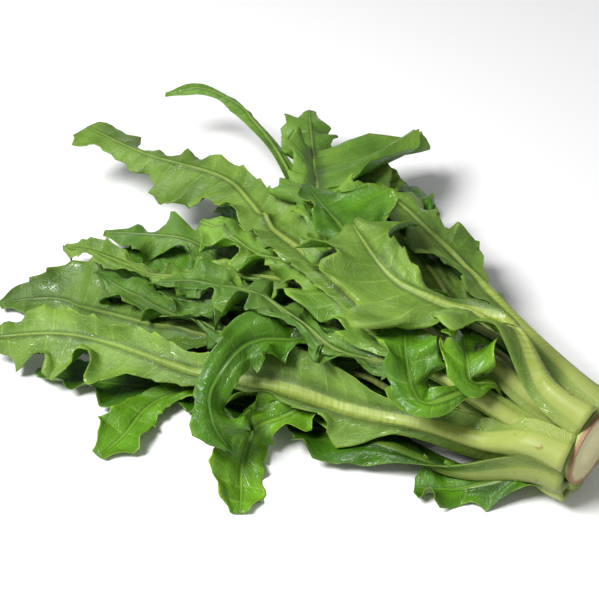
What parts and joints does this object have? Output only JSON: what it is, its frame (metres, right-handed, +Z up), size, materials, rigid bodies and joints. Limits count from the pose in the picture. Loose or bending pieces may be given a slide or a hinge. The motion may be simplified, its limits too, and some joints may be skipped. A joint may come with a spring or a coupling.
{
  "type": "bitter lettuce head",
  "caption": "Picked head of bitter lettuce lying on its side: long lobed, ruffled leaves with raised midribs fanning from a short cut stem.",
  "frame": {"origin": "on the surface that the head lies on, under the middle of its bounding box", "axes": "+X along the head towards the cut end of the stem, +Y across the head to its back, +Z up"},
  "size_m": [0.3936, 0.3112, 0.0935],
  "materials": {
    "stem": "moist cut plant stem, pale cream green with a greyish pink cut face",
    "outer_leaf": "satin leaf, mid green above, greyer green beneath, with a pale yellow-green midrib",
    "heart_leaf": "satin young leaf, brighter yellow-green"
  },
  "bodies": {
    "root": {"leaf_back_long": "outer_leaf", "leaf_back_lower": "outer_leaf", "leaf_back_side": "outer_leaf", "leaf_back_under": "outer_leaf", "leaf_front_draped": "outer_leaf", "leaf_front_forked": "outer_leaf", "leaf_front_long": "outer_leaf", "leaf_front_lower": "outer_leaf", "leaf_front_pale": "outer_leaf", "leaf_front_tongue": "outer_leaf", "leaf_front_upright": "outer_leaf", "leaf_heart_01": "heart_leaf", "leaf_heart_02": "heart_leaf", "leaf_heart_03": "heart_leaf", "leaf_heart_04": "heart_leaf", "leaf_heart_05": "heart_leaf", "leaf_heart_06": "heart_leaf", "leaf_heart_07": "heart_leaf", "leaf_heart_08": "heart_leaf", "leaf_left_dark": "outer_leaf", "leaf_left_hooked": "outer_leaf", "leaf_left_pointed": "outer_leaf", "leaf_left_upper": "outer_leaf", "leaf_top_curled": "outer_leaf", "leaf_top_forked": "outer_leaf", "leaf_top_long": "outer_leaf", "leaf_top_middle": "outer_leaf", "leaf_top_ribbon": "outer_leaf", "leaf_under_back": "outer_leaf", "leaf_under_base": "outer_leaf", "leaf_under_middle": "outer_leaf", "stem": "stem"}
  },
  "joints": []
}
